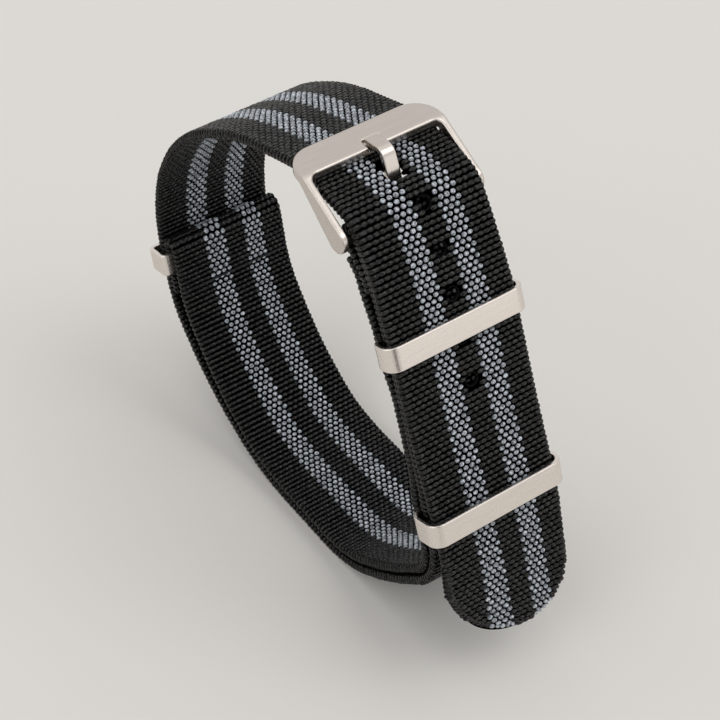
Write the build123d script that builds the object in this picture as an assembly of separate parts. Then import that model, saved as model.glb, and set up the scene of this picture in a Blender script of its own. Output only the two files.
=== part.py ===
from build123d import *
import os
from math import sqrt

# A pull-through watch strap of woven nylon, buckled into its loop and standing on the
# bottom of the loop. The loop is drawn in the XZ plane, +X towards the tail, and the
# webbing's width runs along Y.

# Webbing
strap_width = 20.0
webbing = 1.4
layer_gap = 0.1
rest_cut = 0.1
half_web = webbing / 2
half_strap = strap_width / 2

# Wrist loop: the reach of the long strap's centreline
loop_length = 76.0
loop_height = 72.0
bend_share = 0.45
fold_share = 0.98

# Buckle
pin_radius = 0.65
pin_seat = 0.6
pin_sleeve_gap = 0.1
cheek = 1.0
frame_side_gap = 0.55
frame_drift = 0.45
frame_width = strap_width + (frame_side_gap + cheek) * 2
bar_width = 5.1
bar_thickness = 1.45
bar_clearance = 0.15
bar_reach = 12.5
bar_corner = 4.0
window_corner = 1.2
lug_radius = 1.95
lug_rise = 0.7
lug_lead = 0.15
arm_root = 0.9

# Tongue
tongue_width = 2.4
tongue_thickness = 0.9
tongue_hub = 0.8
tongue_bore_gap = 0.05
tongue_bend = 1.3
seat_depth = 0.6
seat_length = 1.9
slot_ease = 0.2
slot_gap = 0.07
slot_sides = 16
tongue_slot = 4.4

# Holes and tip of the tail
hole_radius = 0.95
hole_pitch = 6.5
hole_count = 5
hole_drift = 0.7
tail_bend = 5.0
tail_shoulder = 2.1
tail_spread = 1.6

# Keepers
keeper_plate = 0.7
keeper_height = 3.7
keeper_side_gap = 0.9
keeper_width = strap_width + (keeper_side_gap + keeper_plate) * 2
keeper_corner = 2.0
keeper_edge = 0.12
keeper_ease = 0.15
keeper_travel = 0.8
pocket_ease = 0.3
lower_reach = 2.45
end_reach = 8.9
end_ease = 0.5
end_side_gap = 0.5
end_corner = 1.0
end_drift = 0.35

# Layers and stitching
slack = 0.4
easing_shares = (0.45, 0.80)
nip_reach = 4.0
cover_start = 2.6
flap_length = 2.6
end_flap = 8.5
row_inset = 1.3
thread_radius = 0.2
thread_sink = 0.15
thread_sides = 8
stitch_pitch = 2.4
stitch_count = 8

overrun = 1.0

# Lanes: how far each layer's centreline lies from the long strap's
lap = webbing + layer_gap
rest_lane = lap + slack
pocket_lane = webbing + keeper_plate + keeper_ease + keeper_ease
end_flap_lane = webbing + keeper_ease
end_lane = end_flap_lane + pocket_lane
hole_depth = half_web + layer_gap / 2
pin_fold = pin_radius + pin_sleeve_gap + half_web
end_fold = pocket_lane / 2
pocket = keeper_height + keeper_travel + keeper_travel + pocket_ease + pocket_ease

# Corners of the long strap's route: down the wall behind the tail, round the bottom,
# up the far side and over the top, as shares of the loop's length and height
pin_shares = (0.688, 0.939)
wall_shares = ((0.743, 0.890), (0.791, 0.788), (0.868, 0.582), (0.954, 0.324))
bottom_shares = (
    (0.942, 0.233), (0.820, 0.108), (0.672, 0.0),
    (0.416, 0.0), (0.317, 0.019), (0.199, 0.085), (0.118, 0.155),
)
far_shares = ((0.038, 0.254), (-0.007, 0.451))
top_shares = (
    (0.012, 0.590), (0.074, 0.718), (0.166, 0.824), (0.322, 0.929), (0.528, 0.996),
)
crown_shares = (0.615, 0.996)
tail_end_shares = (1.045, 0.117)
tip_shares = (
    (1.25, -1.02), (0.85, -0.93), (0.45, -0.73), (0.14, -0.40), (0.005, 0.03),
    (0.06, 0.40), (0.20, 0.67), (0.46, 0.88), (0.90, 1.02),
)
tongue_hole_share = 0.18

# Bends of the tongue from the pin to the bar, as shares of the buckle's reach and rise
tongue_shares = ((0.235, 0.18), (0.331, 0.64), (0.437, 1.07), (0.722, 0.99))


def site(shares):
    """A corner of the route, from its shares of the loop."""
    return Vector(shares[0] * loop_length, shares[1] * loop_height)


def heading(start, end):
    """The direction from one point to the next."""
    return (end - start).normalized()


def toward(start, end, distance):
    """The point at a distance from start on the way to end."""
    return start + heading(start, end) * distance


def left_of(direction):
    """A direction turned a quarter turn to the left: outwards, on this route."""
    return Vector(-direction.Y, direction.X)


def lane(points, offsets):
    """Points moved to the left of the route, along the mitre of their two runs."""
    runs = [heading(start, end) for start, end in zip(points, points[1:])]
    before = [runs[0]] + runs
    after = runs + [runs[-1]]
    moved = []
    for point, offset, first, second in zip(points, offsets, before, after):
        mitre = (left_of(first) + left_of(second)).normalized()
        moved.append(point + mitre * (offset / mitre.dot(left_of(first))))
    return moved


def touch(centre, radius, point):
    """Where a line from a point touches a circle, on the side that the sign tells."""
    reach = (point - centre).length
    aim = heading(centre, point)
    sideways = radius * sqrt(reach * reach - radius * radius) / reach
    return centre + aim * (radius * radius / reach) + left_of(aim) * sideways


def wrap(centre, first, last):
    """Two corners of a route about a centre, touching it at first and at last."""
    radius = (first - centre).length
    far = left_of(heading(first, last)) * radius
    corners = []
    for side in (first - centre, last - centre):
        corners.append(centre + (side + far) / (1 + side.dot(far) / (radius * radius)))
    return corners


def half_turn(points, index):
    """Tangent of half the turn at a corner, positive to the left."""
    before = heading(points[index - 1], points[index])
    after = heading(points[index], points[index + 1])
    return (before.X * after.Y - before.Y * after.X) / (1 + before.dot(after))


def bend_radii(points, folds):
    """A radius for each corner: a named fold, or as large as its two runs allow."""
    radii = []
    for index in range(1, len(points) - 1):
        before = (points[index] - points[index - 1]).length
        after = (points[index + 1] - points[index]).length
        easy = bend_share * min(before, after) / abs(half_turn(points, index))
        radii.append(folds.get(index, easy))
    return radii


def strip(points, folds, thickness, width):
    """A band of even thickness along a route, with its width along Y."""
    radii = bend_radii(points, folds)
    edges = []
    ends = []
    for side in (thickness / 2, -thickness / 2):
        turned = [
            radius - side if half_turn(points, index + 1) > 0 else radius + side
            for index, radius in enumerate(radii)
        ]
        sideline = FilletPolyline(*lane(points, [side] * len(points)), radius=turned)
        edges.extend(sideline.edges())
        ends.append((sideline @ 0, sideline @ 1))
    edges.append(Line(ends[0][0], ends[1][0]))
    edges.append(Line(ends[0][1], ends[1][1]))
    return stand(extrude(make_face(edges), amount=width / 2, both=True))


def stand(shape):
    """Turn a shape drawn flat in XY upright, so that its Y becomes Z."""
    return Plane.XZ * shape


def across(point, outward):
    """A work plane over the strap: X outwards, Y along the width."""
    origin = Vector(point.X, 0, point.Y)
    return Plane(
        origin=origin,
        x_dir=Vector(outward.X, 0, outward.Y),
        z_dir=Vector(outward.Y, 0, -outward.X),
    )


# Where the long strap leaves the pin: the tangent from its first corner
pin = site(pin_shares)
wall = [site(pair) for pair in wall_shares]
bottom = [site(pair) for pair in bottom_shares]
far_side = [site(pair) for pair in far_shares]
top = [site(pair) for pair in top_shares]
crown = site(crown_shares)
floor_level = rest_cut - half_web

leave = touch(pin, pin_fold, wall[0])
wall_run = heading(leave, wall[0])
wall_side = left_of(wall_run)

# Stations on the wall: pockets for the two keepers and the nips between them
upper_pocket = [wall[1], toward(wall[1], wall[2], pocket)]
upper_nip = toward(wall[1], wall[2], pocket + nip_reach)
lower_pocket = toward(wall[3], wall[2], lower_reach + pocket)
lower_nip = toward(lower_pocket, wall[2], nip_reach)
last_nip = (wall[3] + bottom[0]) / 2


def long_strap():
    """Fold round the pin, wall, loop, crown and tail, with its holes and round tip."""
    flap = lane([leave, wall[0], wall[1]], [-lap, -lap, -lap])
    folded = [toward(flap[1], flap[2], flap_length), flap[1]]
    folded += wrap(pin, touch(pin, -pin_fold, flap[1]), leave)
    before = folded + wall + bottom + far_side + top + [crown]
    tail = tail_route()
    folds = {
        2: pin_fold * fold_share,
        3: pin_fold * fold_share,
        len(before): tail_bend,
    }
    cut_end = tail[-1] + heading(tail[-2], tail[-1]) * overrun
    strap = strip(before + tail[:-1] + [cut_end], folds, webbing, strap_width)
    strap -= tip_outline(tail[-2], tail[-1])
    strap -= table_block()
    strap -= stand(
        Pos(pin.X, pin.Y) * extrude(
            RegularPolygon(pin_fold + half_web + slot_gap, slot_sides),
            amount=tongue_width / 2 + slot_ease,
            both=True,
        )
    )
    for plane in hole_planes(tail):
        strap -= plane * extrude(Circle(hole_radius), amount=hole_depth, both=True)
    strap -= tongue_hole(tail)
    return strap


def tail_route():
    """The tail's corners, from over the pin to the tip."""
    spread = lap + tail_spread
    lanes = lane([leave] + wall, [lap, lap, lap, lap, spread])
    over_pin = pin + wall_side * (pin_fold + lap) - wall_run * tail_shoulder
    return [over_pin] + lanes[1:] + [site(tail_end_shares)]


def tongue_place(tail):
    """Where the tongue comes up through the tail."""
    return crown + (tail[0] - crown) * tongue_hole_share


def hole_planes(tail):
    """Work planes on the tail, one for each free hole, from the tongue's hole down."""
    start = tongue_place(tail)
    route = [start] + tail
    line = FilletPolyline(*route, radius=bend_radii(route, {1: tail_bend}))
    planes = []
    for index in range(hole_count):
        share = (index + 1) * hole_pitch / line.length
        out = left_of(line % share)
        spot = line @ share
        planes.append(
            Plane(
                origin=(spot.X, hole_drift, spot.Y),
                x_dir=(0, 1, 0),
                z_dir=(out.X, 0, out.Y),
            )
        )
    return planes


def tongue_hole(tail):
    """The hole in use, drawn out by the tongue to its own width."""
    spot = tongue_place(tail)
    out = left_of(heading(crown, tail[0]))
    plane = Plane(origin=(spot.X, 0, spot.Y), x_dir=(0, 1, 0), z_dir=(out.X, 0, out.Y))
    outline = RectangleRounded(tongue_width + slot_ease + slot_ease, tongue_slot, hole_radius)
    return plane * extrude(outline, amount=hole_depth, both=True)


def tip_outline(above, tip):
    """What the round end of the tail leaves over."""
    back = heading(tip, above)
    out = left_of(back)
    plane = Plane(
        origin=(tip.X, 0, tip.Y), x_dir=(back.X, 0, back.Y), z_dir=(out.X, 0, out.Y)
    )
    rounding = [(far * half_strap, side * half_strap) for far, side in tip_shares]
    beyond = -overrun - overrun
    wide = half_strap + overrun
    first, last = rounding[0], rounding[-1]
    edges = [
        Spline(*rounding),
        Polyline(last, (last[0], wide), (beyond, wide), (beyond, -wide), (first[0], -wide), first),
    ]
    return plane * extrude(make_face(edges), amount=webbing, both=True)


def table_block():
    """What the table presses flat, under the bottom of the loop."""
    block = Box(loop_length + loop_length, strap_width + overrun, webbing)
    return Pos(pin.X, 0, floor_level - webbing / 2) * block


def inner_route():
    """The short strap's corners, from the pin down and round to the end keeper."""
    flap_at_pin = pin_fold + pin_fold
    start_share = cover_start / (wall[0] - leave).length
    cover_lane = lap + flap_at_pin + (lap - flap_at_pin) * start_share
    stations = [
        (toward(leave, wall[0], cover_start), cover_lane),
        (wall[0], lap + lap),
        (toward(wall[0], wall[1], flap_length + webbing), lap + lap),
        (upper_pocket[0], pocket_lane),
        (upper_pocket[1], pocket_lane),
        (upper_nip, lap),
        (wall[2], lap),
        (lower_nip, lap),
        (lower_pocket, pocket_lane),
        (wall[3], pocket_lane),
        (last_nip, lap + slack / 2),
    ]
    stations += [(corner, rest_lane) for corner in bottom[:-2]]
    stations += [
        (corner, rest_lane + (end_lane - rest_lane) * share)
        for corner, share in zip(bottom[-2:], easing_shares)
    ]
    stations += [(far_side[0], end_lane), (far_side[1], end_lane)]
    return lane([place for place, _ in stations], [-gap for _, gap in stations])[:-1]


def end_flap_route():
    """The folded end's corners: over the keeper's bar and straight back down."""
    fold = end_fold_centre()
    up = heading(far_side[0], far_side[1])
    out = left_of(up) * end_fold
    return wrap(fold, fold + out, fold - out)[::-1] + [fold + out - up * end_flap]


def short_strap():
    """The inner layer, with its end folded round the end keeper."""
    main = inner_route()
    folds = {len(main): end_fold * fold_share, len(main) + 1: end_fold * fold_share}
    return strip(main + end_flap_route(), folds, webbing, strap_width)


def end_keeper_centre():
    """The middle of the end keeper on the long strap's centreline."""
    return toward(far_side[0], far_side[1], end_reach)


def end_fold_centre():
    """The middle of the short strap's folded end, over the end keeper's inner bar."""
    up = heading(far_side[0], far_side[1])
    inward = left_of(up) * -(end_flap_lane + end_fold)
    return end_keeper_centre() + inward + up * (keeper_height / 2 + end_ease)


def keeper(centre, run, depth, width, corner):
    """A flat ring round the layers, from its inner bar out to the given window depth."""
    out = left_of(run)
    inner_face = half_web + keeper_ease
    middle = centre + out * (depth / 2 - inner_face)
    plane = across(middle, out)
    outer = RectangleRounded(depth + keeper_plate + keeper_plate, width, corner)
    window = RectangleRounded(depth, width - keeper_plate - keeper_plate, corner - keeper_plate)
    ring = extrude(outer - window, amount=keeper_height / 2, both=True)
    rims = ring.faces().sort_by(Axis.Z)
    ring = chamfer(rims[0].edges() + rims[-1].edges(), keeper_edge)
    return plane * ring


def upper_keeper():
    """The flat ring next to the buckle, round the tail and the long strap."""
    centre = toward(wall[1], wall[2], pocket / 2)
    depth = lap + webbing + keeper_ease + keeper_ease
    return keeper(centre, heading(wall[1], wall[2]), depth, keeper_width, keeper_corner)


def lower_keeper():
    """The deeper ring, where the tail stands off the wall."""
    centre = toward(wall[3], wall[2], lower_reach + pocket / 2)
    slope = tail_spread / (wall[3] - wall[2]).length
    stand_off = slope * ((centre - wall[2]).length + pocket / 2)
    depth = lap + stand_off + webbing + keeper_ease + keeper_ease
    return keeper(centre, heading(wall[2], wall[3]), depth, keeper_width, keeper_corner)


def end_keeper():
    """The narrower ring on the short strap's folded end, slid a little to one side."""
    up = heading(far_side[0], far_side[1])
    inward = left_of(up) * -end_flap_lane
    depth = end_flap_lane + webbing + keeper_ease + keeper_ease
    width = strap_width + (end_side_gap + keeper_plate) * 2
    ring = keeper(end_keeper_centre() + inward, up, depth, width, end_corner)
    return Pos(0, -end_drift, 0) * ring


def buckle_frame():
    """Front bar and two arms that widen into round lugs, with a seat for the tongue.

    The buckle has drifted to one side on the strap's fold, as far as its arms allow."""
    bar_bottom = max(crown.Y, top[-1].Y) + half_web + bar_clearance
    bar_top = bar_bottom + bar_thickness
    bar_front = pin.X - bar_reach
    bar_back = bar_front + bar_width
    lug = pin + Vector(-lug_lead, lug_rise)
    high = Vector(bar_back, bar_top)
    low = Vector(bar_back - arm_root, bar_bottom)
    over = touch(lug, -lug_radius, high)
    below = touch(lug, lug_radius, low)
    arm = make_face(
        Polyline(over, high, Vector(high.X - arm_root, high.Y), low, below).edges()
        + ThreePointArc(below, lug + Vector(lug_radius, 0), over).edges()
    )
    bar = Pos(bar_front, bar_bottom) * Rectangle(
        bar_width, bar_thickness, align=(Align.MIN, Align.MIN)
    )
    frame = stand(extrude(bar + arm, amount=frame_width / 2, both=True))
    uprights = frame.edges().filter_by(Axis.Z).group_by(Axis.X)[0]
    frame = fillet(uprights, bar_corner)
    window = Box(
        bar_reach + lug_radius,
        frame_width - cheek - cheek,
        loop_height,
        align=(Align.MIN, Align.CENTER, Align.CENTER),
    )
    window = fillet(
        window.edges().filter_by(Axis.Z).group_by(Axis.X)[0], window_corner
    )
    frame -= Pos(bar_back, 0, pin.Y) * window
    under = Box(
        bar_reach,
        frame_width - cheek - cheek,
        bar_reach,
        align=(Align.CENTER, Align.CENTER, Align.MAX),
    )
    frame -= Pos(bar_back, 0, bar_bottom) * under
    seat = Box(
        seat_length + overrun,
        tongue_width + slot_ease + slot_ease,
        seat_depth + overrun,
        align=(Align.MIN, Align.CENTER, Align.MIN),
    )
    frame -= Pos(bar_back - seat_length, frame_drift, bar_top - seat_depth) * seat
    return Pos(0, -frame_drift, 0) * (frame - pin_rod())


def pin_rod():
    """A round bar between the arms, blind in both lugs."""
    length = frame_width - cheek - cheek + pin_seat + pin_seat
    rod = extrude(Circle(pin_radius), amount=length / 2, both=True)
    return stand(Pos(pin.X, pin.Y) * rod)


def buckle_pin():
    """The fixed bar that the long strap is folded round, drifted with the frame."""
    return Pos(0, -frame_drift, 0) * pin_rod()


def tongue():
    """An eye on the pin and a prong that rises through the tail onto the bar."""
    bar_top = max(crown.Y, top[-1].Y) + half_web + bar_clearance + bar_thickness
    rise = bar_top - pin.Y
    bore = pin_radius + tongue_bore_gap
    points = [pin + Vector(0, bore + tongue_hub - tongue_thickness / 2)]
    points += [pin + Vector(-x * bar_reach, z * rise) for x, z in tongue_shares]
    folds = {index: tongue_bend for index in range(1, len(points) - 1)}
    prong = strip(points, folds, tongue_thickness, tongue_width)
    eye = stand(
        Pos(pin.X, pin.Y)
        * extrude(Circle(bore + tongue_hub), amount=tongue_width / 2, both=True)
    )
    hole = stand(
        Pos(pin.X, pin.Y) * extrude(Circle(bore), amount=tongue_width, both=True)
    )
    return prong + eye - hole


def stitch_row(place, run, outer_lane, inner_lane):
    """One row of thread: a line of stitches on each face, joined through the layers."""
    faces = (outer_lane + half_web - thread_sink, inner_lane - half_web + thread_sink)
    span = faces[0] - faces[1]
    middle = (faces[0] + faces[1]) / 2
    thread = RegularPolygon(thread_radius, thread_sides)
    rod = Rot(X=90) * extrude(thread, amount=stitch_pitch * stitch_count / 2, both=True)
    row = Pos(faces[0], 0, 0) * rod + Pos(faces[1], 0, 0) * rod
    for index in range(stitch_count):
        start = (index - (stitch_count - 1) / 2) * stitch_pitch
        link = Rot(Y=90) * extrude(thread, amount=span / 2, both=True)
        row += Pos(middle, start, 0) * link
    return across(place, left_of(run)) * row


def buckle_stitching():
    """The row that closes the fold round the pin and holds the short strap's start."""
    place = toward(wall[0], wall[1], row_inset)
    run = heading(wall[0], wall[1])
    share = row_inset / (wall[1] - wall[0]).length
    inner = lap + lap + (pocket_lane - lap - lap) * share
    return stitch_row(place, run, 0, -inner)


def upper_keeper_stitching():
    """The row under the upper keeper's pocket."""
    return stitch_row(upper_nip, heading(wall[1], wall[2]), 0, -lap)


def lower_keeper_stitching():
    """The row over the lower keeper's pocket."""
    return stitch_row(lower_nip, heading(wall[2], wall[3]), 0, -lap)


def seam_stitching():
    """The last row, under the lower keeper's pocket, where the layers part."""
    return stitch_row(last_nip, heading(wall[3], bottom[0]), 0, -lap - slack / 2)


def end_stitching():
    """The row that closes the short strap's fold, clear of the long strap."""
    up = heading(far_side[0], far_side[1])
    place = end_fold_centre() - up * (end_flap - row_inset)
    return stitch_row(place, up, end_fold, -end_fold)


pieces = {
    "long_strap": long_strap(),
    "short_strap": short_strap(),
    "buckle_frame": buckle_frame(),
    "buckle_pin": buckle_pin(),
    "tongue": tongue(),
    "upper_keeper": upper_keeper(),
    "lower_keeper": lower_keeper(),
    "end_keeper": end_keeper(),
    "buckle_stitching": buckle_stitching(),
    "upper_keeper_stitching": upper_keeper_stitching(),
    "lower_keeper_stitching": lower_keeper_stitching(),
    "seam_stitching": seam_stitching(),
    "end_stitching": end_stitching(),
}

# The origin is under the middle of the whole part, on the surface that it stands on
whole = Compound(list(pieces.values())).bounding_box()
home = Vector(-(whole.min.X + whole.max.X) / 2, 0, -whole.min.Z)

os.makedirs("parts", exist_ok=True)
for name, piece in pieces.items():
    export_step(Pos(home) * piece, f"parts/{name}.step")

print("moved home by", home)
print("pin", home + Vector(pin.X, 0, pin.Y))
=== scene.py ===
# %% [markdown]
# # A striped nylon watch strap with a steel buckle and keepers
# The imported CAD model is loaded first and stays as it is: it says where every part lies.
# The steel gets its finish on rounded copies, and the webbing is modelled anew, because
# its woven ribs are its real shape.

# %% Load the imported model
import bpy
import numpy as np
from math import pi, radians, tan
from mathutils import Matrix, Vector


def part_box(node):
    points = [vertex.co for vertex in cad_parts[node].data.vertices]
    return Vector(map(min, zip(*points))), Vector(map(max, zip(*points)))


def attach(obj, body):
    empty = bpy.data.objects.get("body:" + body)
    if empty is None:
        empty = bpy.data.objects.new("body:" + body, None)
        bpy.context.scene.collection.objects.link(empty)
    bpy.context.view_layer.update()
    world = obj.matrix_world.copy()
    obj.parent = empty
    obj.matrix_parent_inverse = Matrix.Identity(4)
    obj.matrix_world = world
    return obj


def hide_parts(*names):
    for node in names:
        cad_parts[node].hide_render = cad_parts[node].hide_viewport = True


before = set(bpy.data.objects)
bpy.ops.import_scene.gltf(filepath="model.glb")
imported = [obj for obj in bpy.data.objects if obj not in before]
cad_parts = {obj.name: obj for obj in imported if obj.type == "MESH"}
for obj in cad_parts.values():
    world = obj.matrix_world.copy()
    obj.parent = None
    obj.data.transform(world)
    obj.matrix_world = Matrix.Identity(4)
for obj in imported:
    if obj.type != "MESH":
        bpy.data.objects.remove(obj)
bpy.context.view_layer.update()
mm = 0.001

# %% [markdown]
# ## The camera
# The strap is seen from the side of its buckle, a good 40 degrees above the table, with
# a long lens that keeps the keepers' edges nearly parallel. Its place and its aim are
# told from the middle of the buckle's pin, and it doesn't roll.

# %% Camera
camera_from_pin = (163.281, -123.99, 175.562)
aim_from_pin = (-11.689, 0.17, -37.308)
pin_low, pin_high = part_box("buckle_pin")
pin_axis = Vector(((pin_low.x + pin_high.x) / 2, 0, (pin_low.z + pin_high.z) / 2))
camera_place = pin_axis + Vector(camera_from_pin) * mm
aim = pin_axis + Vector(aim_from_pin) * mm
camera = bpy.data.objects.new("camera", bpy.data.cameras.new("camera"))
bpy.context.scene.collection.objects.link(camera)
camera.location = camera_place
camera.rotation_euler = (aim - camera_place).to_track_quat("-Z", "Y").to_euler()
camera.data.sensor_width = 36
camera.data.lens = 101.85
camera.data.clip_start = 0.01
bpy.context.scene.camera = camera
print("camera at", camera_place, "looking at", aim)

# %% [markdown]
# ## Helpers for working as by hand
# Loading leaves the CAD nodes selected, and an operator acts on all that is selected, so
# each step starts by choosing the one object it is about.


# %% Choosing, joining and finishing objects
def choose(obj):
    """Make this the only selected object, and the active one."""
    if bpy.context.mode != "OBJECT":
        bpy.ops.object.mode_set(mode="OBJECT")
    bpy.ops.object.select_all(action="DESELECT")
    obj.select_set(True)
    bpy.context.view_layer.objects.active = obj


def join(pieces, name):
    """Join pieces into the first one and name it."""
    choose(pieces[0])
    for piece in pieces:
        piece.select_set(True)
    bpy.ops.object.join()
    pieces[0].name = name
    return pieces[0]


def settle(obj):
    """Put an object's place, turn and scale into its mesh."""
    choose(obj)
    bpy.ops.object.transform_apply(location=True, rotation=True, scale=True)


def finish_with(obj, kind, **settings):
    """Add one modifier, set it and apply it."""
    choose(obj)
    modifier = obj.modifiers.new(kind.lower(), kind)
    for setting, value in settings.items():
        setattr(modifier, setting, value)
    bpy.ops.object.modifier_apply(modifier=modifier.name)


def own_copy(obj, name):
    """A copy of an object with its own mesh and no ties to its body."""
    twin = obj.copy()
    twin.data = obj.data.copy()
    twin.name = name
    twin.parent = None
    for key in [key for key in twin.keys() if key.startswith("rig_")]:
        del twin[key]
    bpy.context.scene.collection.objects.link(twin)
    return twin


# %% [markdown]
# The CAD nodes themselves stay as they are. A copy of one has its doubled points merged
# first, so that its faces hang together under a modifier.

# %% A merged copy of a CAD node
merge_gap = 0.002 * mm


def merged_copy(node, name, flat_angle=None):
    """A copy with its doubles merged and, if asked, its flat faces made whole."""
    twin = own_copy(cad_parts[node], name)
    choose(twin)
    bpy.ops.object.mode_set(mode="EDIT")
    bpy.ops.mesh.select_all(action="SELECT")
    bpy.ops.mesh.remove_doubles(threshold=merge_gap)
    if flat_angle:
        bpy.ops.mesh.dissolve_limited(angle_limit=flat_angle)
    bpy.ops.object.mode_set(mode="OBJECT")
    return twin


# %% [markdown]
# ## Materials
# Two nylons, black and cool grey, share one recipe: a soft sheen, filaments as fine
# bumps, and a little change of shade from yarn to yarn. The steel is a warm, satin
# brushed one. Every pattern reads Object coordinates, which stay put when parts move.


# %% Node helpers
def new_material(name):
    """A material with its node tree, its shader and the Object coordinates."""
    material = bpy.data.materials.new(name)
    material.use_nodes = True
    tree = material.node_tree
    shader = tree.nodes["Principled BSDF"]
    place = tree.nodes.new("ShaderNodeTexCoord").outputs["Object"]
    return material, tree, shader, place


def noise(tree, place, scale, detail=2.0, stretch=(1, 1, 1)):
    """Noise on the object's own coordinates, stretched along its axes."""
    mapping = tree.nodes.new("ShaderNodeMapping")
    mapping.inputs["Scale"].default_value = stretch
    tree.links.new(place, mapping.inputs["Vector"])
    cloud = tree.nodes.new("ShaderNodeTexNoise")
    cloud.inputs["Scale"].default_value = scale
    cloud.inputs["Detail"].default_value = detail
    tree.links.new(mapping.outputs["Vector"], cloud.inputs["Vector"])
    return cloud.outputs["Fac"]


def ramp(tree, value, stops):
    """A colour ramp with stops of (position, colour)."""
    node = tree.nodes.new("ShaderNodeValToRGB")
    for element, (position, colour) in zip(node.color_ramp.elements, stops):
        element.position = position
        element.color = (*colour, 1)
    tree.links.new(value, node.inputs["Fac"])
    return node.outputs["Color"]


def bump(tree, shader, height, strength, distance):
    """A bump for the shader's normal."""
    node = tree.nodes.new("ShaderNodeBump")
    node.inputs["Strength"].default_value = strength
    node.inputs["Distance"].default_value = distance
    tree.links.new(height, node.inputs["Height"])
    tree.links.new(node.outputs["Normal"], shader.inputs["Normal"])


def product(tree, first, second):
    """Two colours or shades multiplied."""
    node = tree.nodes.new("ShaderNodeVectorMath")
    node.operation = "MULTIPLY"
    tree.links.new(first, node.inputs[0])
    tree.links.new(second, node.inputs[1])
    return node.outputs["Vector"]


# %% [markdown]
# The nylon's shade comes from a coarse noise. A fine noise stands for its filaments, as
# flecks and as bumps. Woven yarn also takes the painted shade layer of its knuckle, which
# darkens it and dulls its gloss down in the grooves.

# %% Nylon yarn
yarn_grain = 900
filament_grain = 3300
filament_detail = 1.0
filament_depth = 0.08 * mm
filament_strength = 0.8
shade_stops = (0.3, 0.7)
fleck_stops = ((0.36, (0.4, 0.4, 0.4)), (0.64, (1.4, 1.4, 1.4)))


def nylon(name, dark, light, roughness, gloss, woven=True):
    """Spun nylon: shade changes from yarn to yarn, filaments show as flecks and bumps.

    Woven yarn also takes painted shade: it is darker and duller down in its grooves, as its
    painted shade layer says."""
    material, tree, shader, place = new_material(name)
    shade = ramp(tree, noise(tree, place, yarn_grain), zip(shade_stops, (dark, light)))
    filaments = noise(tree, place, filament_grain, filament_detail)
    flecks = ramp(tree, filaments, fleck_stops)
    colour = product(tree, shade, flecks)
    shader.inputs["Specular IOR Level"].default_value = gloss
    if woven:
        # Painted shade: the layer darkens the colour and dulls the gloss down between the
        # knuckles.
        painted_shade = tree.nodes.new("ShaderNodeAttribute")
        painted_shade.attribute_name = "painted_shade"
        colour = product(tree, colour, painted_shade.outputs["Color"])
        shaded_gloss = tree.nodes.new("ShaderNodeMath")
        shaded_gloss.operation = "MULTIPLY"
        shaded_gloss.inputs[1].default_value = gloss
        tree.links.new(product(tree, flecks, painted_shade.outputs["Color"]), shaded_gloss.inputs[0])
        tree.links.new(shaded_gloss.outputs["Value"], shader.inputs["Specular IOR Level"])
    tree.links.new(colour, shader.inputs["Base Color"])
    bump(tree, shader, filaments, filament_strength, filament_depth)
    shader.inputs["Roughness"].default_value = roughness
    return material


black_nylon = nylon(
    "black_nylon", dark=(0.005, 0.005, 0.0052), light=(0.014, 0.0135, 0.013),
    roughness=0.27, gloss=0.42,
)
grey_nylon = nylon(
    "grey_nylon", dark=(0.34, 0.37, 0.41), light=(0.54, 0.58, 0.64),
    roughness=0.34, gloss=0.45,
)
melted_nylon = nylon(
    "melted_nylon", dark=(0.002, 0.002, 0.002), light=(0.005, 0.005, 0.005),
    roughness=0.8, gloss=0.1, woven=False,
)
print("nylons:", black_nylon.name, grey_nylon.name, melted_nylon.name)

# %% [markdown]
# The steel's brushing runs along the width of the strap, so its noise is drawn out along
# Y. It changes tint, gloss and height a little. The buckle and its tongue have a steel a
# shade darker than the keepers'.

# %% Brushed steel
brushing_grain = 7000
brushing_detail = 3.0
brushing_stretch = (1, 0.03, 1)
brushing_depth = 0.004 * mm
brushing_strength = 0.15
brushing_dark_share = 0.93
gloss_change = 0.06


def brushed_steel(name, tint, roughness):
    """Satin steel with fine brushing along the width and a soft change of gloss."""
    material, tree, shader, place = new_material(name)
    shader.inputs["Metallic"].default_value = 1.0
    brushing = noise(tree, place, brushing_grain, brushing_detail, brushing_stretch)
    dark = tuple(part * brushing_dark_share for part in tint)
    tints = ramp(tree, brushing, zip(shade_stops, (dark, tint)))
    tree.links.new(tints, shader.inputs["Base Color"])
    gloss = tree.nodes.new("ShaderNodeMapRange")
    gloss.inputs["To Min"].default_value = roughness - gloss_change
    gloss.inputs["To Max"].default_value = roughness + gloss_change
    tree.links.new(brushing, gloss.inputs["Value"])
    tree.links.new(gloss.outputs["Result"], shader.inputs["Roughness"])
    bump(tree, shader, brushing, brushing_strength, brushing_depth)
    return material


steel = brushed_steel("brushed_steel", tint=(0.80, 0.738, 0.69), roughness=0.27)
buckle_steel = brushed_steel("buckle_steel", tint=(0.64, 0.585, 0.54), roughness=0.27)
print("steels:", steel.name, buckle_steel.name)

# %% [markdown]
# ## The strap's route
# Webbing keeps its thickness and its length, so it is easiest to weave it flat and then
# lead it along a curve. The route is the centreline of the long strap as the part's
# source gives it: corners as shares of the loop, each rounded as far as its runs allow.
# The pin's CAD node says where the route's own origin lies in the frame. All the sizes
# are in millimetres.

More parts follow.
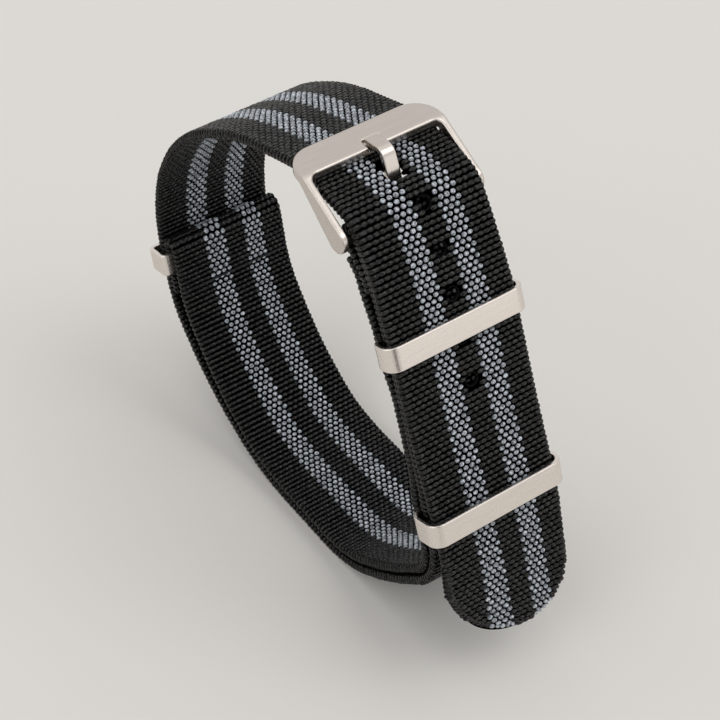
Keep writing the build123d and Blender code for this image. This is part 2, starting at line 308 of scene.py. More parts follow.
# %% Driving sizes of the route
loop_length = 76.0
loop_height = 72.0
webbing = 1.4
layer_gap = 0.1
half_web = webbing / 2
lap = webbing + layer_gap
pin_radius = 0.65
pin_sleeve_gap = 0.1
pin_fold = pin_radius + pin_sleeve_gap + half_web
bend_share = 0.45
fold_share = 0.98
tail_bend = 5.0
tail_shoulder = 2.1
tail_spread = 1.6
flap_length = 2.6
pin_shares = (0.688, 0.939)
wall_shares = ((0.743, 0.890), (0.791, 0.788), (0.868, 0.582), (0.954, 0.324))
bottom_shares = (
    (0.942, 0.233), (0.820, 0.108), (0.672, 0.0),
    (0.416, 0.0), (0.317, 0.019), (0.199, 0.085), (0.118, 0.155),
)
far_shares = ((0.038, 0.254), (-0.007, 0.451))
top_shares = (
    (0.012, 0.590), (0.074, 0.718), (0.166, 0.824), (0.322, 0.929), (0.528, 0.996),
)
crown_shares = (0.615, 0.996)
tail_end_shares = (1.045, 0.117)

# %% [markdown]
# A few short functions draw the route: corners from their shares, lanes for the layers
# that lie beside it, and bends about a centre.


# %% Corners, lanes and tangents
def site(shares):
    """A corner of the route, from its shares of the loop."""
    return Vector((shares[0] * loop_length, shares[1] * loop_height))


def heading(start, end):
    """The direction from one point to the next."""
    return (end - start).normalized()


def toward(start, end, distance):
    """The point at a distance from start on the way to end."""
    return start + heading(start, end) * distance


def left_of(direction):
    """A direction turned a quarter turn to the left: outwards, on this route."""
    return Vector((-direction.y, direction.x))


def lane(points, offsets):
    """Points moved to the left of the route, along the mitre of their two runs."""
    runs = [heading(start, end) for start, end in zip(points, points[1:])]
    moved = []
    for point, offset, first, second in zip(points, offsets, [runs[0]] + runs, runs + [runs[-1]]):
        mitre = (left_of(first) + left_of(second)).normalized()
        moved.append(point + mitre * (offset / mitre.dot(left_of(first))))
    return moved


def touch(centre, radius, point):
    """Where a line from a point touches a circle, on the side that the sign tells."""
    reach = (point - centre).length
    toward_point = heading(centre, point)
    sideways = radius * (reach * reach - radius * radius) ** 0.5 / reach
    return centre + toward_point * (radius * radius / reach) + left_of(toward_point) * sideways


def wrap(centre, first, last):
    """Two corners of a route about a centre, touching it at first and at last."""
    radius = (first - centre).length
    far = left_of(heading(first, last)) * radius
    return [
        centre + (side + far) / (1 + side.dot(far) / (radius * radius))
        for side in (first - centre, last - centre)
    ]


# %% [markdown]
# The long strap starts as a short flap, folds round the pin, goes down behind the tail,
# round the loop and over the crown, and ends as the tail, one lap outside its own wall.

# %% The long strap's corners
pin = site(pin_shares)
wall = [site(pair) for pair in wall_shares]
bottom = [site(pair) for pair in bottom_shares]
far_side = [site(pair) for pair in far_shares]
top = [site(pair) for pair in top_shares]
crown = site(crown_shares)
leave = touch(pin, pin_fold, wall[0])
flap = lane([leave, wall[0], wall[1]], [-lap, -lap, -lap])
folded = [toward(flap[1], flap[2], flap_length), flap[1]]
folded += wrap(pin, touch(pin, -pin_fold, flap[1]), leave)
wall_run = heading(leave, wall[0])
over_pin = pin + left_of(wall_run) * (pin_fold + lap) - wall_run * tail_shoulder
tail = [over_pin] + lane([leave] + wall, [lap, lap, lap, lap, lap + tail_spread])[1:]
tail += [site(tail_end_shares)]
before_tail = folded + wall + bottom + far_side + top + [crown]
long_corners = before_tail + tail
long_folds = {2: pin_fold * fold_share, 3: pin_fold * fold_share, len(before_tail): tail_bend}
print("corners of the long strap:", len(long_corners))

# %% [markdown]
# The short strap lies inside the long one. It stands off by a keeper's plate where a
# keeper has its pocket, closes up between them, lies a little loose along the bottom, and
# ends folded round the end keeper.

# %% Sizes of the short strap
slack = 0.4
keeper_plate = 0.7
keeper_ease = 0.15
keeper_height = 3.7
keeper_travel = 0.8
pocket_ease = 0.3
pocket = keeper_height + keeper_travel * 2 + pocket_ease * 2
nip_reach = 4.0
lower_reach = 2.45
end_reach = 8.9
end_ease = 0.5
end_flap = 8.5
cover_start = 2.6
parting_shares = (0.45, 0.80)
pocket_lane = webbing + keeper_plate + keeper_ease * 2
rest_lane = lap + slack
end_flap_lane = webbing + keeper_ease
end_lane = end_flap_lane + pocket_lane
end_fold = pocket_lane / 2

# %% [markdown]
# Each station is a place on the long strap's route, and how far inside that route the
# short strap runs there.

# %% The short strap's corners
start_share = cover_start / (wall[0] - leave).length
cover_lane = lap + pin_fold * 2 + (lap - pin_fold * 2) * start_share
lower_pocket = toward(wall[3], wall[2], lower_reach + pocket)
stations = [
    (toward(leave, wall[0], cover_start), cover_lane),
    (wall[0], lap * 2),
    (toward(wall[0], wall[1], flap_length + webbing), lap * 2),
    (wall[1], pocket_lane),
    (toward(wall[1], wall[2], pocket), pocket_lane),
    (toward(wall[1], wall[2], pocket + nip_reach), lap),
    (wall[2], lap),
    (toward(lower_pocket, wall[2], nip_reach), lap),
    (lower_pocket, pocket_lane),
    (wall[3], pocket_lane),
    ((wall[3] + bottom[0]) / 2, lap + slack / 2),
]
stations += [(corner, rest_lane) for corner in bottom[:-2]]
stations += [
    (corner, rest_lane + (end_lane - rest_lane) * share)
    for corner, share in zip(bottom[-2:], parting_shares)
]
stations += [(far_side[0], end_lane), (far_side[1], end_lane)]
short_corners = lane([place for place, _ in stations], [-gap for _, gap in stations])[:-1]
end_up = heading(far_side[0], far_side[1])
end_out = left_of(end_up) * end_fold
fold_centre = (
    toward(far_side[0], far_side[1], end_reach)
    - left_of(end_up) * (end_flap_lane + end_fold)
    + end_up * (keeper_height / 2 + end_ease)
)
short_folds = {
    len(short_corners): end_fold * fold_share,
    len(short_corners) + 1: end_fold * fold_share,
}
short_corners += wrap(fold_centre, fold_centre + end_out, fold_centre - end_out)[::-1]
short_corners += [fold_centre + end_out - end_up * end_flap]
print("corners of the short strap:", len(short_corners))

# %% [markdown]
# A Bezier curve follows such a route exactly enough when each corner becomes two points
# with handles along the runs. A handle of four thirds of the tangent of a quarter of the
# turn, times the radius, makes a quarter circle true to a few thousandths.

# %% A guide curve through the corners
straight_share = 1 / 3
curve_steps = 24
home = Vector((pin_axis.x, pin_axis.z)) / mm - pin


def guide(name, corners, folds):
    """A Bezier curve along the route, standing upright in the frame."""
    points = []
    for index in range(1, len(corners) - 1):
        before = corners[index] - corners[index - 1]
        after = corners[index + 1] - corners[index]
        turn = abs(before.angle_signed(after))
        easy = bend_share * min(before.length, after.length) / tan(turn / 2)
        radius = folds.get(index, easy)
        reach = radius * tan(turn / 2)
        handle = radius * tan(turn / 4) * 4 / 3
        first, last = before.normalized(), after.normalized()
        points.append((corners[index] - first * reach, first, None, handle))
        points.append((corners[index] + last * reach, last, handle, None))
    ends = (heading(corners[0], corners[1]), heading(corners[-2], corners[-1]))
    points = [(corners[0], ends[0], None, None)] + points + [(corners[-1], ends[1], None, None)]
    bpy.ops.object.select_all(action="DESELECT")
    bpy.ops.curve.primitive_bezier_curve_add()
    curve = bpy.context.object
    curve.name = name
    curve.data.dimensions = "2D"
    curve.data.resolution_u = curve_steps
    curve.data.use_deform_bounds = False
    spline = curve.data.splines[0]
    spline.bezier_points.add(len(points) - 2)
    for index, (place, direction, back, ahead) in enumerate(points):
        knot = spline.bezier_points[index]
        run_in = (place - points[index - 1][0]).length if index else 1.0
        run_out = (points[index + 1][0] - place).length if index + 1 < len(points) else 1.0
        knot.handle_left_type = knot.handle_right_type = "FREE"
        left = place - direction * (back or run_in * straight_share)
        right = place + direction * (ahead or run_out * straight_share)
        knot.co = ((place + home) * mm).to_3d()
        knot.handle_left = ((left + home) * mm).to_3d()
        knot.handle_right = ((right + home) * mm).to_3d()
    curve.rotation_euler = (pi / 2, 0, 0)
    bpy.context.view_layer.update()
    print(name, "is", round(spline.calc_length() / mm, 2), "mm long")
    return curve


long_guide = guide("long_guide", long_corners, long_folds)
short_guide = guide("short_guide", short_corners, short_folds)

# %% [markdown]
# ## One yarn knuckle
# Seen close, the webbing is rows of rounded knuckles: each is a warp yarn that comes up
# over one weft. A low dome is enough for one, because it is repeated thousands of times:
# a small sphere, cut just under its middle, with its pole pushed down, and stretched to a
# short roll. A colour layer of painted shade tells the nylon how high up the dome each
# point is, and darkens the low parts, where shade falls between the knuckles.

# %% Sizes of the weave
strap_width = 20.0
half_width = strap_width / 2
rib_pitch = 0.84
yarn_pitch = 1.0
knuckle_peak = 0.79
core_half = 0.36
knuckle_share = 0.94
black_width = 1.35
grey_width = 0.9

# %% [markdown]
# The dome starts as a sphere with a radius of a half. Its layer of painted shade is light
# near the top, dark at the foot, where shade falls between the knuckles, and a little
# darker and duller at the pole.

# %% Sizes of the dome and of its painted shade
ball_radius = 0.5
dome_foot = -0.05
pole_from = 0.49
pole_height = 0.43
# How far the painted shade at the pole reaches, how dark it is, and how the painted shade fades
# up the dome:
pole_reach = 0.02
painted_pole_shade = 0.72
painted_shade_gain = 1.15
painted_shade_power = 1.2
# Painted shade at the foot of the black and of the grey knuckles:
black_painted_foot_shade = 0.15
grey_painted_foot_shade = 0.1

# %% [markdown]
# The grey and the black knuckle are the same dome. They differ in width, in how dark the
# painted shade at the foot is, and in their nylon.


# %% A knuckle
def small_ball(name):
    """A coarse sphere, to be shaped into the top of a yarn."""
    bpy.ops.object.select_all(action="DESELECT")
    bpy.ops.mesh.primitive_uv_sphere_add(segments=8, ring_count=6, radius=ball_radius)
    ball = bpy.context.object
    ball.name = name
    return ball


def paint_shade_layer(obj, shade_at):
    """A colour layer of painted shade, with the shade that a function gives each point."""
    layer = obj.data.color_attributes.new("painted_shade", "FLOAT_COLOR", "POINT")
    for point, cell in zip(obj.data.vertices, layer.data):
        shade = shade_at(point.co)
        cell.color = (shade, shade, shade, 1)


def knuckle(name, width, painted_foot_shade, material):
    """A low dome, one rib long, standing on the webbing's core."""
    dome = small_ball(name)
    bpy.ops.object.mode_set(mode="EDIT")
    bpy.ops.mesh.select_all(action="SELECT")
    bpy.ops.mesh.bisect(plane_co=(0, 0, dome_foot), plane_no=(0, 0, 1), clear_inner=True)
    bpy.ops.object.mode_set(mode="OBJECT")
    for point in dome.data.vertices:
        if point.co.z > pole_from:
            point.co.z = pole_height
    dome.scale = (rib_pitch * knuckle_share, width, (knuckle_peak - core_half) * 2)
    settle(dome)
    peak = max(point.co.z for point in dome.data.vertices)

    def painted_groove_shade(co):
        """Painted shade: none high on the dome, a little at the pole, and dark down at the foot.
        """
        middle = painted_pole_shade if co.xy.length < pole_reach else 1.0
        return middle * max(painted_foot_shade, min(1.0, co.z / peak * painted_shade_gain)) ** painted_shade_power

    paint_shade_layer(dome, painted_groove_shade)
    dome.data.materials.append(material)
    bpy.ops.object.shade_smooth()
    return dome


grey_knuckle = knuckle("grey_knuckle", grey_width, grey_painted_foot_shade, grey_nylon)
black_knuckle = knuckle("black_knuckle", black_width, black_painted_foot_shade, black_nylon)
print("a knuckle has", len(grey_knuckle.data.polygons), "faces")

# %% [markdown]
# ## Two ribs of webbing
# Every other rib has its knuckles half a pitch aside, so two ribs are the smallest piece
# that repeats. Its grey knuckles stand four and three abreast, which gives the stripes
# their stepped edges. The back is the front turned over, and each rib ends in a
# selvedge bead, where the weft turns round the edge.

# %% Where the stripes are
stripe_centre = 3.5
stripe_halves = (1.5, 2.0)
spare_yarns = 3


def rib_places(row, shift):
    """Places of one rib's knuckles across the strap, and whether each one is grey."""
    first = -half_width - yarn_pitch + (row + 1) % 2 * yarn_pitch / 2
    rim = half_width - black_width / 2
    places = []
    for index in range(int(strap_width / yarn_pitch) + spare_yarns):
        across = first + index * yarn_pitch
        grey = abs(abs(across) - stripe_centre) < stripe_halves[row]
        place = across + shift
        if abs(place) < rim + yarn_pitch / 2:
            places.append((max(-rim, min(rim, place)), grey))
    return places


print("knuckles in one rib:", len(rib_places(0, 0)), "and", len(rib_places(1, 0)))

# %% [markdown]
# The knuckles are stamped one by one on both faces and joined into a tile. A shift moves
# the stripes aside by less than a yarn.


# %% A tile of two ribs
def stamp(obj, x, y, z, turned=False):
    """A copy of an object at a place, turned over for the back of the webbing."""
    twin = own_copy(obj, obj.name + "_copy")
    twin.location = (x, y, z)
    twin.rotation_euler = (pi if turned else 0, 0, 0)
    return twin


def tile(name, shift):
    """Two ribs of knuckles on both faces, with the stripes shifted aside."""
    stamps = []
    for row in range(2):
        x = (row + 0.5) * rib_pitch
        for y, grey in rib_places(row, shift):
            kind = grey_knuckle if grey else black_knuckle
            stamps.append(stamp(kind, x, y, core_half))
            stamps.append(stamp(kind, x, y, -core_half, True))
    block = join(stamps, name)
    settle(block)
    return block


# %% [markdown]
# A selvedge bead is a whole sphere, drawn out and leaned a little, with painted shade that
# darkens it towards its two ends, where it meets the next bead. Two ribs have four of
# them, two at each edge.

# %% A pair of selvedge beads
bead_inset = 0.42
bead_length_share = 1.15
bead_width = 0.95
bead_height = 1.5
bead_lean = radians(14)
bead_painted_shade_fall = 1.5


def selvedge_beads():
    """The beads at both ends of two ribs, leaning a little, as a twisted cord does."""
    bead = small_ball("bead")
    bead.scale = (rib_pitch * bead_length_share, bead_width, bead_height)
    bead.rotation_euler = (0, bead_lean, 0)
    settle(bead)
    # Painted shade: darker towards both ends of the bead.
    paint_shade_layer(bead, lambda co: 1.0 - abs(co.x) / rib_pitch * bead_painted_shade_fall)
    bead.data.materials.append(black_nylon)
    bpy.ops.object.shade_smooth()
    stamps = []
    for row in range(2):
        for side in (-1, 1):
            place = side * (half_width - bead_inset)
            stamps.append(stamp(bead, (row + 0.5) * rib_pitch, place, 0))
    pair = join(stamps, "selvedge_beads")
    settle(pair)
    bpy.data.objects.remove(bead)
    return pair


beads = selvedge_beads()
print("selvedge beads have", len(beads.data.polygons), "faces")

# %% [markdown]
# ## How far along the guides things are
# The tail's holes, the tongue's slot and the tip lie at distances along the long guide.
# The round tip is given by points of (how far before the end, where across).

# %% Distances along the guides
tongue_hole_share = 0.18
hole_radius = 0.95
hole_pitch = 6.5
hole_count = 5
hole_drift = 0.7
tip_outline = (
    (15.5, -10.2), (12.5, -9.8), (9.6, -9.2), (7.0, -8.3), (4.9, -7.2), (2.9, -5.7),
    (1.4, -4.0), (0.4, -1.8), (0.05, 0.3), (0.2, 2.2), (0.7, 3.9), (2.2, 6.4), (4.8, 8.6),
    (7.2, 9.7), (10.0, 10.2),
)
tip_fars, tip_sides = zip(*tip_outline)


def samples(curve):
    """Points along a guide curve, and how far along it each of them is."""
    line = bpy.data.meshes.new_from_object(curve)
    points = np.array([(v.co.x, v.co.y) for v in line.vertices]) / mm
    steps = np.linalg.norm(np.diff(points, axis=0), axis=1)
    return points, np.concatenate(([0], np.cumsum(steps)))


def distance_to(curve, place):
    """How far along a guide the point nearest to a place is."""
    points, along = samples(curve)
    spot = np.array(place + home)
    return float(along[np.argmin(np.linalg.norm(points - spot, axis=1))])


tongue_along = distance_to(long_guide, crown + (tail[0] - crown) * tongue_hole_share)
long_length = float(samples(long_guide)[1][-1])
short_length = float(samples(short_guide)[1][-1])
holes = [tongue_along + (index + 1) * hole_pitch for index in range(hole_count)]
print("tongue's hole at", round(tongue_along, 1), "of", round(long_length, 1), "mm")

# %% [markdown]
# ## Weaving
# The tile is repeated along the length while the webbing is flat, where it is easy to
# tell which knuckles a hole or the round tip leaves out. They are deleted whole, as
# yarns that are cut and melted are gone.

# %% Leaving knuckles out
cut_margin = 0.25
slot_along = 2.1
slot_across = 1.5


def left_out(centres):
    """Which knuckles a hole, the tongue's slot or the round tip takes away."""
    gone = np.zeros(len(centres), bool)
    for along in holes:
        gap = np.hypot(centres[:, 0] - along, centres[:, 1] - hole_drift)
        gone |= gap < hole_radius + cut_margin
    from_tongue = np.abs(centres[:, 0] - tongue_along)
    gone |= (from_tongue < slot_along) & (np.abs(centres[:, 1]) < slot_across)
    cut = long_length - np.interp(centres[:, 1], tip_sides, tip_fars)
    return gone | (centres[:, 0] > cut - cut_margin)


def trim(obj, verts_each):
    """Delete the left-out knuckles of a flat piece, block by block of its vertices."""
    coords = np.empty(len(obj.data.vertices) * 3)
    obj.data.vertices.foreach_get("co", coords)
    centres = coords.reshape(-1, verts_each, 3).mean(axis=1)
    gone = np.repeat(left_out(centres), verts_each)
    if not gone.any():
        return
    choose(obj)
    bpy.ops.object.mode_set(mode="EDIT")
    bpy.ops.mesh.select_mode(type="VERT")
    bpy.ops.mesh.select_all(action="DESELECT")
    bpy.ops.object.mode_set(mode="OBJECT")
    obj.data.vertices.foreach_set("select", gone)
    bpy.ops.object.mode_set(mode="EDIT")
    bpy.ops.mesh.delete(type="VERT")
    bpy.ops.object.mode_set(mode="OBJECT")


# %% [markdown]
# Worn webbing isn't a perfect band. Its tail spreads a little where nothing draws it
# tight, its stripes wander between their edges, and its free end turns by a tenth of its
# width, from just under the lower keeper. The first two are done while the webbing is
# flat, in millimetres, and the last on the bent piece, in the frame's metres.

# %% Spreading, wandering and leaning
spread_share = 0.045
spread_over = 9
spread_after_pitches = 2
spread_before_tip = 8
skew_edge = 10.4
lean_from = 0.0255
lean_over = 0.013
lean_side = 0.0339
lean_slope = 0.34
lean_power = 1.5
lean_turn = 0.10
lean_out = 0.0001
lean_drift = 0.0005
lean_down = 0.0005


def widen(obj):
    """Spread the tail's near edge, and its far edge between the buckle and the tip."""
    past_buckle = tongue_along + spread_after_pitches * hole_pitch
    for point in obj.data.vertices:
        left = long_length - point.co.x
        share = min(point.co.x - past_buckle, left - spread_before_tip) / spread_over
        share = 1.0 if point.co.y < 0 else max(0.0, min(1.0, share))
        point.co.y *= 1 + spread_share * share


def skew(obj, path):
    """Lead the stripes aside between the edges, which stay: a path of (along, shift)."""
    along, shifts = zip(*path)
    for point in obj.data.vertices:
        shift = float(np.interp(point.co.x, along, shifts))
        point.co.y += shift * max(0.0, 1 - (point.co.y / skew_edge) ** 2)


def lean(obj):
    """Turn the tail's free end a little, the way it hangs out of the lower keeper."""
    for point in obj.data.vertices:
        depth = (lean_from - point.co.z) / lean_over
        beyond = point.co.x - lean_side + (point.co.z - lean_from) * lean_slope
        if depth > 0 and beyond > 0:
            share = min(1.0, depth) ** lean_power
            point.co.x += (point.co.y * lean_turn + lean_out) * share
            point.co.y -= lean_drift * share
            point.co.z -= lean_down * share


# %% [markdown]
# A stretch of webbing is the tile and its beads in an array, trimmed, made a little
# uneven by a soft cloud of displacement, and then led along the guide curve.

# %% Weaving a stretch of webbing
two_ribs = rib_pitch * 2
rib_unevenness = 0.15
cloud_middle = 0.5
unevenness = bpy.data.textures.new("unevenness", "CLOUDS")
unevenness.noise_scale = 0.9
unevenness.noise_depth = 2
inner_shift = 0.35
tail_shift = 0.7
beads_in_tile = 4
bead_verts = len(beads.data.vertices) // beads_in_tile
plain_tile = tile("plain_tile", 0.0)
inner_tile = tile("inner_tile", inner_shift)
tail_tile = tile("tail_tile", tail_shift)


def bend(obj, curve):
    """Lead a flat piece along a guide curve and give it the frame's size."""
    obj.scale = (mm, mm, mm)
    settle(obj)
    finish_with(obj, "CURVE", object=curve, deform_axis="POS_X")


def weave(name, curve, length, start, end, block, trimmed, path):
    """A stretch of webbing from one share of a guide's length to another."""
    tiles = round(length / two_ribs)
    stretch = length / (tiles * two_ribs)
    first, last = round(start * tiles), round(end * tiles)
    parts = []
    for part, verts_each in ((block, len(grey_knuckle.data.vertices)), (beads, bead_verts)):
        cloth = own_copy(part, name)
        finish_with(
            cloth, "ARRAY", count=last - first, use_relative_offset=False,
            use_constant_offset=True, constant_offset_displace=(two_ribs, 0, 0),
        )
        cloth.location = (first * two_ribs * stretch, 0, 0)
        cloth.scale = (stretch, 1, 1)
        settle(cloth)
        if trimmed:
            trim(cloth, verts_each)
        if block is tail_tile:
            widen(cloth)
        if path:
            skew(cloth, path)
        parts.append(cloth)
    cloth = join(parts, name)
    finish_with(
        cloth, "DISPLACE", texture=unevenness, strength=rib_unevenness, mid_level=cloud_middle
    )
    bend(cloth, curve)
    if block is tail_tile:
        lean(cloth)
    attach(cloth, "straps")
    print(name, len(cloth.data.polygons), "faces,", last - first, "tiles")


# %% [markdown]
# ## The two straps
# Each strap is woven in stretches short enough to handle, and the short strap's four are
# equal. They follow on from tile to tile, so no seam shows. The stripes' paths start and
# end at corners of the route or at distances before a strap's end.

# %% Weaving the two straps
far_drift = 0.6
tip_drifts = ((18, 0.0), (0, 1.4))
end_drifts = ((50, 0.0), (36, 0.3), (14, 0.8))
far_path = [
    (distance_to(long_guide, far_side[0]), 0.0),
    (distance_to(long_guide, far_side[1]), far_drift),
    (distance_to(long_guide, top[1]), far_drift),
    (distance_to(long_guide, top[3]), 0.0),
]
tip_path = [(long_length - before, shift) for before, shift in tip_drifts]
end_path = [(short_length - before, shift) for before, shift in end_drifts]
wall_end = 0.22
bottom_middle = 0.34
bottom_end = 0.46
tail_start = distance_to(long_guide, crown) / long_length
top_middle = (bottom_end + tail_start) / 2
tail_middle = (tail_start + 1) / 2
long_stretches = (
    ("wall_weave", 0.0, wall_end, plain_tile, False, None),
    ("bottom_weave", wall_end, bottom_middle, plain_tile, False, None),
    ("far_weave", bottom_middle, bottom_end, plain_tile, False, None),
    ("rise_weave", bottom_end, top_middle, plain_tile, True, far_path),
    ("top_weave", top_middle, tail_start, plain_tile, True, far_path),
    ("tail_weave", tail_start, tail_middle, tail_tile, True, tip_path),
    ("tip_weave", tail_middle, 1.0, tail_tile, True, tip_path),
)
short_stretches = (
    ("cover_weave", 0.0, 0.25, inner_tile, False, None),
    ("inner_weave", 0.25, 0.5, inner_tile, False, None),
    ("side_weave", 0.5, 0.75, inner_tile, False, end_path),
    ("end_weave", 0.75, 1.0, inner_tile, False, end_path),
)
for name, start, end, block, trimmed, path in long_stretches:
    weave(name, long_guide, long_length, start, end, block, trimmed, path)
for name, start, end, block, trimmed, path in short_stretches:
    weave(name, short_guide, short_length, start, end, block, trimmed, path)

# %% [markdown]
# The round tip is cut hot, and its yarns end in a row of small beads along the cut.
# They are knuckles again, stood at even steps along the tip's outline, on both faces.

# %% Beads along the tip
tip_samples = 400
tip_bead_step = 0.8
tip_bead_start = 0.4
tip_bead_inset = 0.4
tip_bead_rim = 9.6
tip_bead_scale = (1.15, 0.85, 1.75)
sides = np.linspace(tip_sides[0], tip_sides[-1], tip_samples)
fars = np.interp(sides, tip_sides, tip_fars)
steps = np.concatenate(([0], np.cumsum(np.hypot(np.diff(sides), np.diff(fars)))))
marks = np.arange(tip_bead_start, steps[-1], tip_bead_step)
stamps = []
for mark in marks:
    side, far = np.interp(mark, steps, sides), np.interp(mark, steps, fars)
    grey = abs(abs(side - tail_shift) - stripe_centre) < stripe_halves[1]
    kind = grey_knuckle if grey else black_knuckle
    place = max(-tip_bead_rim, min(tip_bead_rim, side))
    for turned in (False, True):
        twin = stamp(kind, long_length - far - tip_bead_inset, place, 0, turned)
        twin.scale = tip_bead_scale
        stamps.append(twin)
tip_beads = join(stamps, "tip_beads")
settle(tip_beads)
widen(tip_beads)
skew(tip_beads, tip_path)
bend(tip_beads, long_guide)
lean(tip_beads)
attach(tip_beads, "straps")
print("beads along the tip:", len(marks))

# %% [markdown]
# The knuckles, beads and tiles were only patterns, so they go once the weaving is done.

# %% Clearing the patterns away
for spare in (grey_knuckle, black_knuckle, beads, plain_tile, inner_tile, tail_tile):
    bpy.data.objects.remove(spare)
print("patterns removed")

# %% [markdown]
# ## The webbing's core
# Between the knuckles the weft shows as a dark ground. It is the straps' CAD shape made
# thinner: a merged copy pushed in along its normals, with its holes and its tip.

# %% Cores
core_inset = 0.32 * mm


def core(name, *nodes):
    """The strap's own CAD shape, made thinner, under the knuckles that stand on it."""
    ground = merged_copy(nodes[0], name)
    finish_with(ground, "DISPLACE", strength=-core_inset, mid_level=0.0)
    lean(ground)
    ground.data.materials.clear()
    ground.data.materials.append(black_nylon)
    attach(ground, "straps")
    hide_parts(*nodes)
    print(name, len(ground.data.polygons), "faces")


core("long_core", "long_strap")
core("short_core", "short_strap")

# %% [markdown]
# ## Holes
# The holes are burnt through, which leaves a smooth melted rim in each. A torus drawn
# out to the webbing's thickness is such a rim, and it is bent with the webbing.

# %% Melted rims
rim_reach = 0.12
rim_radius = 0.16
rim_drawing = 2.4
bpy.ops.object.select_all(action="DESELECT")
bpy.ops.mesh.primitive_torus_add(
    major_radius=hole_radius + rim_reach, minor_radius=rim_radius,
    major_segments=24, minor_segments=8,
)
rim = bpy.context.object
rim.scale = (1, 1, rim_drawing)
settle(rim)
bpy.ops.object.shade_smooth()
rim.data.materials.append(melted_nylon)
rims = join([stamp(rim, along, hole_drift, 0) for along in holes], "hole_rims")
settle(rims)
bend(rims, long_guide)
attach(rims, "straps")
for spare in (rim, long_guide, short_guide):
    bpy.data.objects.remove(spare)
print("rims of", hole_count, "holes")

# %% [markdown]
# ## Steel parts
# Each piece of steel is a merged copy of its CAD solid, with flat faces dissolved back to
# one. The pin and the two keepers of the tail take a small rounded bevel, which catches
# the light along every edge. The frame, the tongue and the end keeper are rounder than a
# bevel makes them, so they get a skin of fine voxels, smoothed until the edges are soft.

# %% Two ways to round steel
flat_angle = radians(1)
bevel_steps = 3
bevel_angle = radians(35)
smooth_angle = radians(40)
voxels_in_rounding = 3
smoothing_passes = 14
smoothing_factor = 0.5
normal_weight = 60


def bevelled(piece, width):
    """Round the edges of a piece with a bevel."""
    finish_with(
        piece, "BEVEL", width=width * mm, segments=bevel_steps, limit_method="ANGLE",
        angle_limit=bevel_angle, miter_outer="MITER_ARC",
    )
    choose(piece)
    bpy.ops.object.shade_smooth_by_angle(angle=smooth_angle)
    finish_with(piece, "WEIGHTED_NORMAL", keep_sharp=True, weight=normal_weight)


def tumbled(piece, width):
    """Round a piece all over, with a smoothed skin of fine voxels."""
    finish_with(piece, "REMESH", mode="VOXEL", voxel_size=width * mm / voxels_in_rounding)
    finish_with(piece, "SMOOTH", factor=smoothing_factor, iterations=smoothing_passes)
    choose(piece)
    bpy.ops.object.shade_smooth()


# %% [markdown]
# Each piece rides on its part's body and takes the place of its CAD node. The tongue is
# also made a little narrower than its solid.

# %% The steel pieces
buckle_round = 0.36
small_round = 0.24
plate_bevel = 0.1
tongue_slimming = 0.88


def soften(name, node, body, metal, rounding, width, slimming=1.0):
    """A copy of a rigid CAD node with rounded edges, in its place."""
    piece = merged_copy(node, name, flat_angle)
    for point in piece.data.vertices:
        point.co.y *= slimming
    rounding(piece, width)
    piece.data.materials.clear()
    piece.data.materials.append(metal)
    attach(piece, body)
    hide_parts(node)
    print(name, len(piece.data.polygons), "faces")


soften("frame_polished", "buckle_frame", "buckle", buckle_steel, tumbled, buckle_round)
soften("pin_polished", "buckle_pin", "buckle", buckle_steel, bevelled, plate_bevel)
soften(
    "tongue_polished", "tongue", "tongue", buckle_steel, tumbled, small_round, tongue_slimming
)
soften("upper_keeper_polished", "upper_keeper", "upper_keeper", steel, bevelled, plate_bevel)
soften("lower_keeper_polished", "lower_keeper", "lower_keeper", steel, bevelled, plate_bevel)
soften("end_keeper_polished", "end_keeper", "end_keeper", steel, tumbled, small_round)

# %% [markdown]
# ## Thread
# The stitches are the CAD's own rows of thread, in a waxed black.

# %% Thread finish
thread = nylon(
    "black_thread", dark=(0.006, 0.006, 0.007), light=(0.018, 0.018, 0.02),
    roughness=0.5, gloss=0.3, woven=False,
)
stitched = [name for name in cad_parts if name.endswith("stitching")]
for name in stitched:
    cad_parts[name].data.materials.clear()
    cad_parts[name].data.materials.append(thread)
print("rows of stitching:", len(stitched))

# %% [markdown]
# ## Floor and light
# The strap stands on a wide, pale, matt floor.

# %% Floor
matt_roughness = 0.9
floor_size = 4
floor_colour = (0.70, 0.684, 0.655, 1)


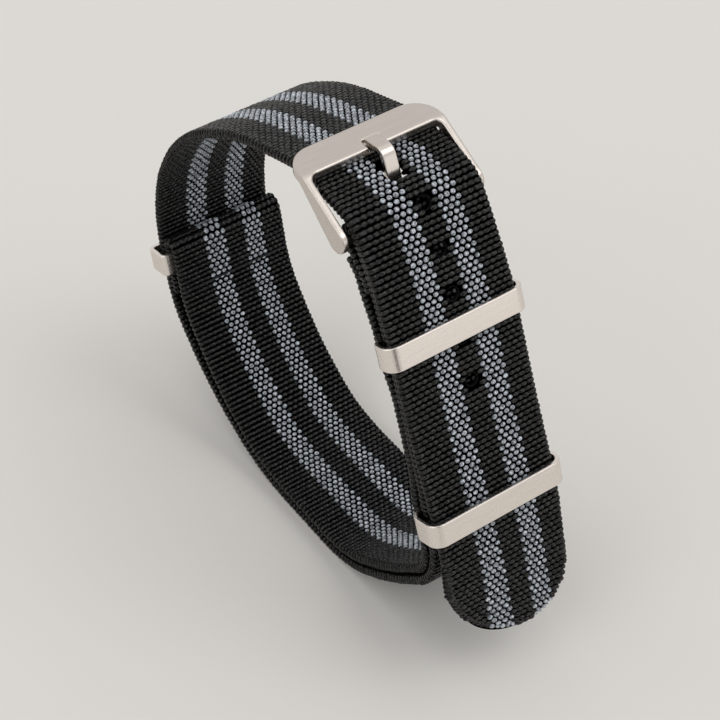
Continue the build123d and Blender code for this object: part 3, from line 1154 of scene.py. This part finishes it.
def matt_sheet(name, size, material_name, colour):
    """A flat sheet of one matt colour."""
    bpy.ops.object.select_all(action="DESELECT")
    bpy.ops.mesh.primitive_plane_add(size=size)
    sheet = bpy.context.object
    sheet.name = name
    matt, _, shader, _ = new_material(material_name)
    shader.inputs["Base Color"].default_value = colour
    shader.inputs["Roughness"].default_value = matt_roughness
    sheet.data.materials.append(matt)
    return sheet


floor = matt_sheet("floor", floor_size, "floor_card", floor_colour)
print("floor", floor_size, "metres wide")

# %% [markdown]
# Four soft boxes light it: a key high on the right, a wide one above, a fill in front on
# the left, and a small, weak one low on the right. An even, nearly white surround adds
# to them from all sides.

# %% Lights: name, place and size in metres, power in watts
lights = (
    ("key", (0.8, 0.65, 1.4), 0.9, 4.0),
    ("sky", (0.0, 0.2, 2.0), 2.5, 4.0),
    ("fill", (0.1, -1.5, 1.0), 1.2, 4.5),
    ("side", (0.72, 0.37, 0.03), 0.5, 0.35),
)
surround_colour = (1, 0.99, 0.975, 1)
surround_strength = 0.8


def softbox(name, place, size, power):
    """A square lamp aimed at the middle of the strap."""
    lamp = bpy.data.lights.new(name, "AREA")
    lamp.size = size
    lamp.energy = power
    holder = bpy.data.objects.new(name, lamp)
    bpy.context.scene.collection.objects.link(holder)
    holder.location = place
    holder.rotation_euler = (aim - Vector(place)).to_track_quat("-Z", "Y").to_euler()


for name, place, size, power in lights:
    softbox(name, place, size, power)
world = bpy.data.worlds.new("studio")
bpy.context.scene.world = world
world.use_nodes = True
surround = world.node_tree.nodes["Background"]
surround.inputs["Color"].default_value = surround_colour
surround.inputs["Strength"].default_value = surround_strength
bpy.context.scene.view_settings.view_transform = "Standard"
print("lights:", len(lights), "and a surround")

# %% [markdown]
# A black card stands beside the camera, as in a studio, so that the rounded corners of
# the steel show a dark line. The camera itself doesn't see it.

# %% Black card
card_size = (0.12, 0.3, 1)
card_place = (0.32, -0.12, 0.1)
card_colour = (0.01, 0.01, 0.01, 1)
card = matt_sheet("black_card", 1, "black_paper", card_colour)
card.scale = card_size
settle(card)
card.location = card_place
card.rotation_euler = (aim - card.location).to_track_quat("Z", "Y").to_euler()
card.visible_camera = False
print("black card at", card_place)
